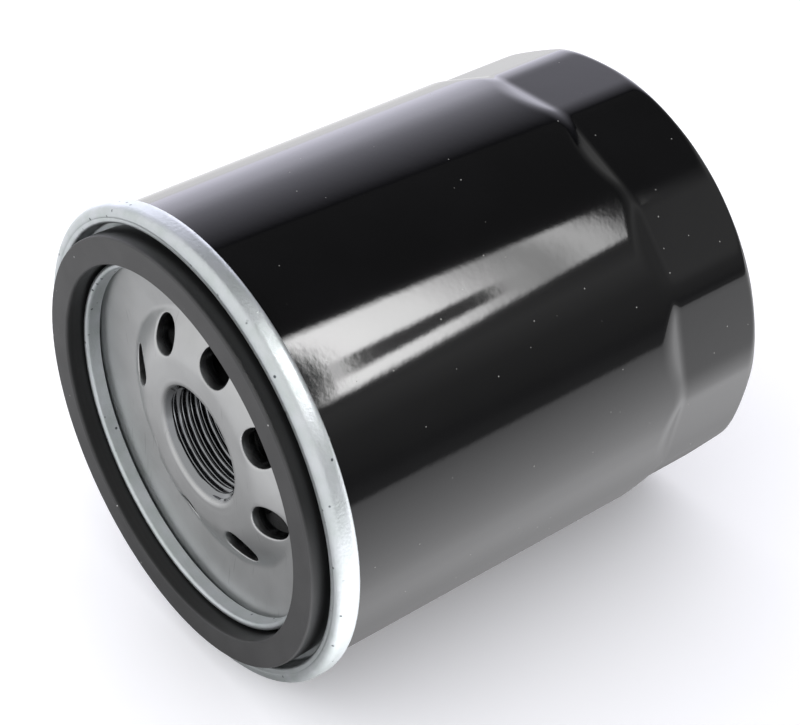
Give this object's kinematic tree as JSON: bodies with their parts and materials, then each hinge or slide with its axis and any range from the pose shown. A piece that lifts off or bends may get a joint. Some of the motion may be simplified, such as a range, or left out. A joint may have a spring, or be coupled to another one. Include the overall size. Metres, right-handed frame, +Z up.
{
  "type": "spin-on oil filter",
  "caption": "Spin-on engine oil filter: fluted steel can, rolled lid with a square rubber gasket, threaded base plate with inlet holes, pleated element and relief valve.",
  "frame": {"origin": "midway along the filter, on the surface it lies on, below its axis", "axes": "+Y along the filter's axis from the gasket to the closed end, +Z up"},
  "size_m": [0.079, 0.088, 0.079],
  "materials": {
    "black_enamel": "gloss black baked enamel",
    "zinc_plate": "clear zinc plate, satin",
    "bare_steel": "oiled cold-rolled steel",
    "gasket_rubber": "moulded nitrile rubber, matte",
    "valve_rubber": "moulded nitrile rubber, satin",
    "seam_sealant": "cured lining compound",
    "plastisol": "cured plastisol adhesive",
    "filter_paper": "resin-treated pleated paper",
    "spring_steel": "oil-tempered wire"
  },
  "bodies": {
    "housing": {"can": "black_enamel", "seaming_lid": "zinc_plate", "seam_compound": "seam_sealant", "gasket": "gasket_rubber", "base_plate": "bare_steel", "lower_end_cap": "bare_steel", "lower_potting": "plastisol", "pleated_media": "filter_paper", "media_clip": "zinc_plate", "centre_tube": "zinc_plate", "upper_potting": "plastisol", "upper_end_cap": "bare_steel", "bypass_cage": "bare_steel", "bypass_guide": "bare_steel", "bypass_spring": "spring_steel", "element_spring_seat": "zinc_plate", "element_spring": "spring_steel"},
    "bypass_valve": {"bypass_poppet": "zinc_plate", "bypass_seal": "valve_rubber"},
    "drainback_flap": {"anti_drainback_valve": "valve_rubber"}
  },
  "joints": [
    {"name": "bypass_lift", "type": "slide", "parent": "housing", "child": "bypass_valve", "axis": [0, -1, 0], "range_m": [0, 0.0025], "stiffness_N_per_m": 1100, "springref_m": -0.009, "deforming": ["bypass_spring"]},
    {"name": "drainback_lift", "type": "slide", "parent": "housing", "child": "drainback_flap", "axis": [0, 1, 0], "range_m": [0, 0.0012], "stiffness_N_per_m": 300, "springref_m": -0.001, "deforming": ["anti_drainback_valve"]}
  ]
}
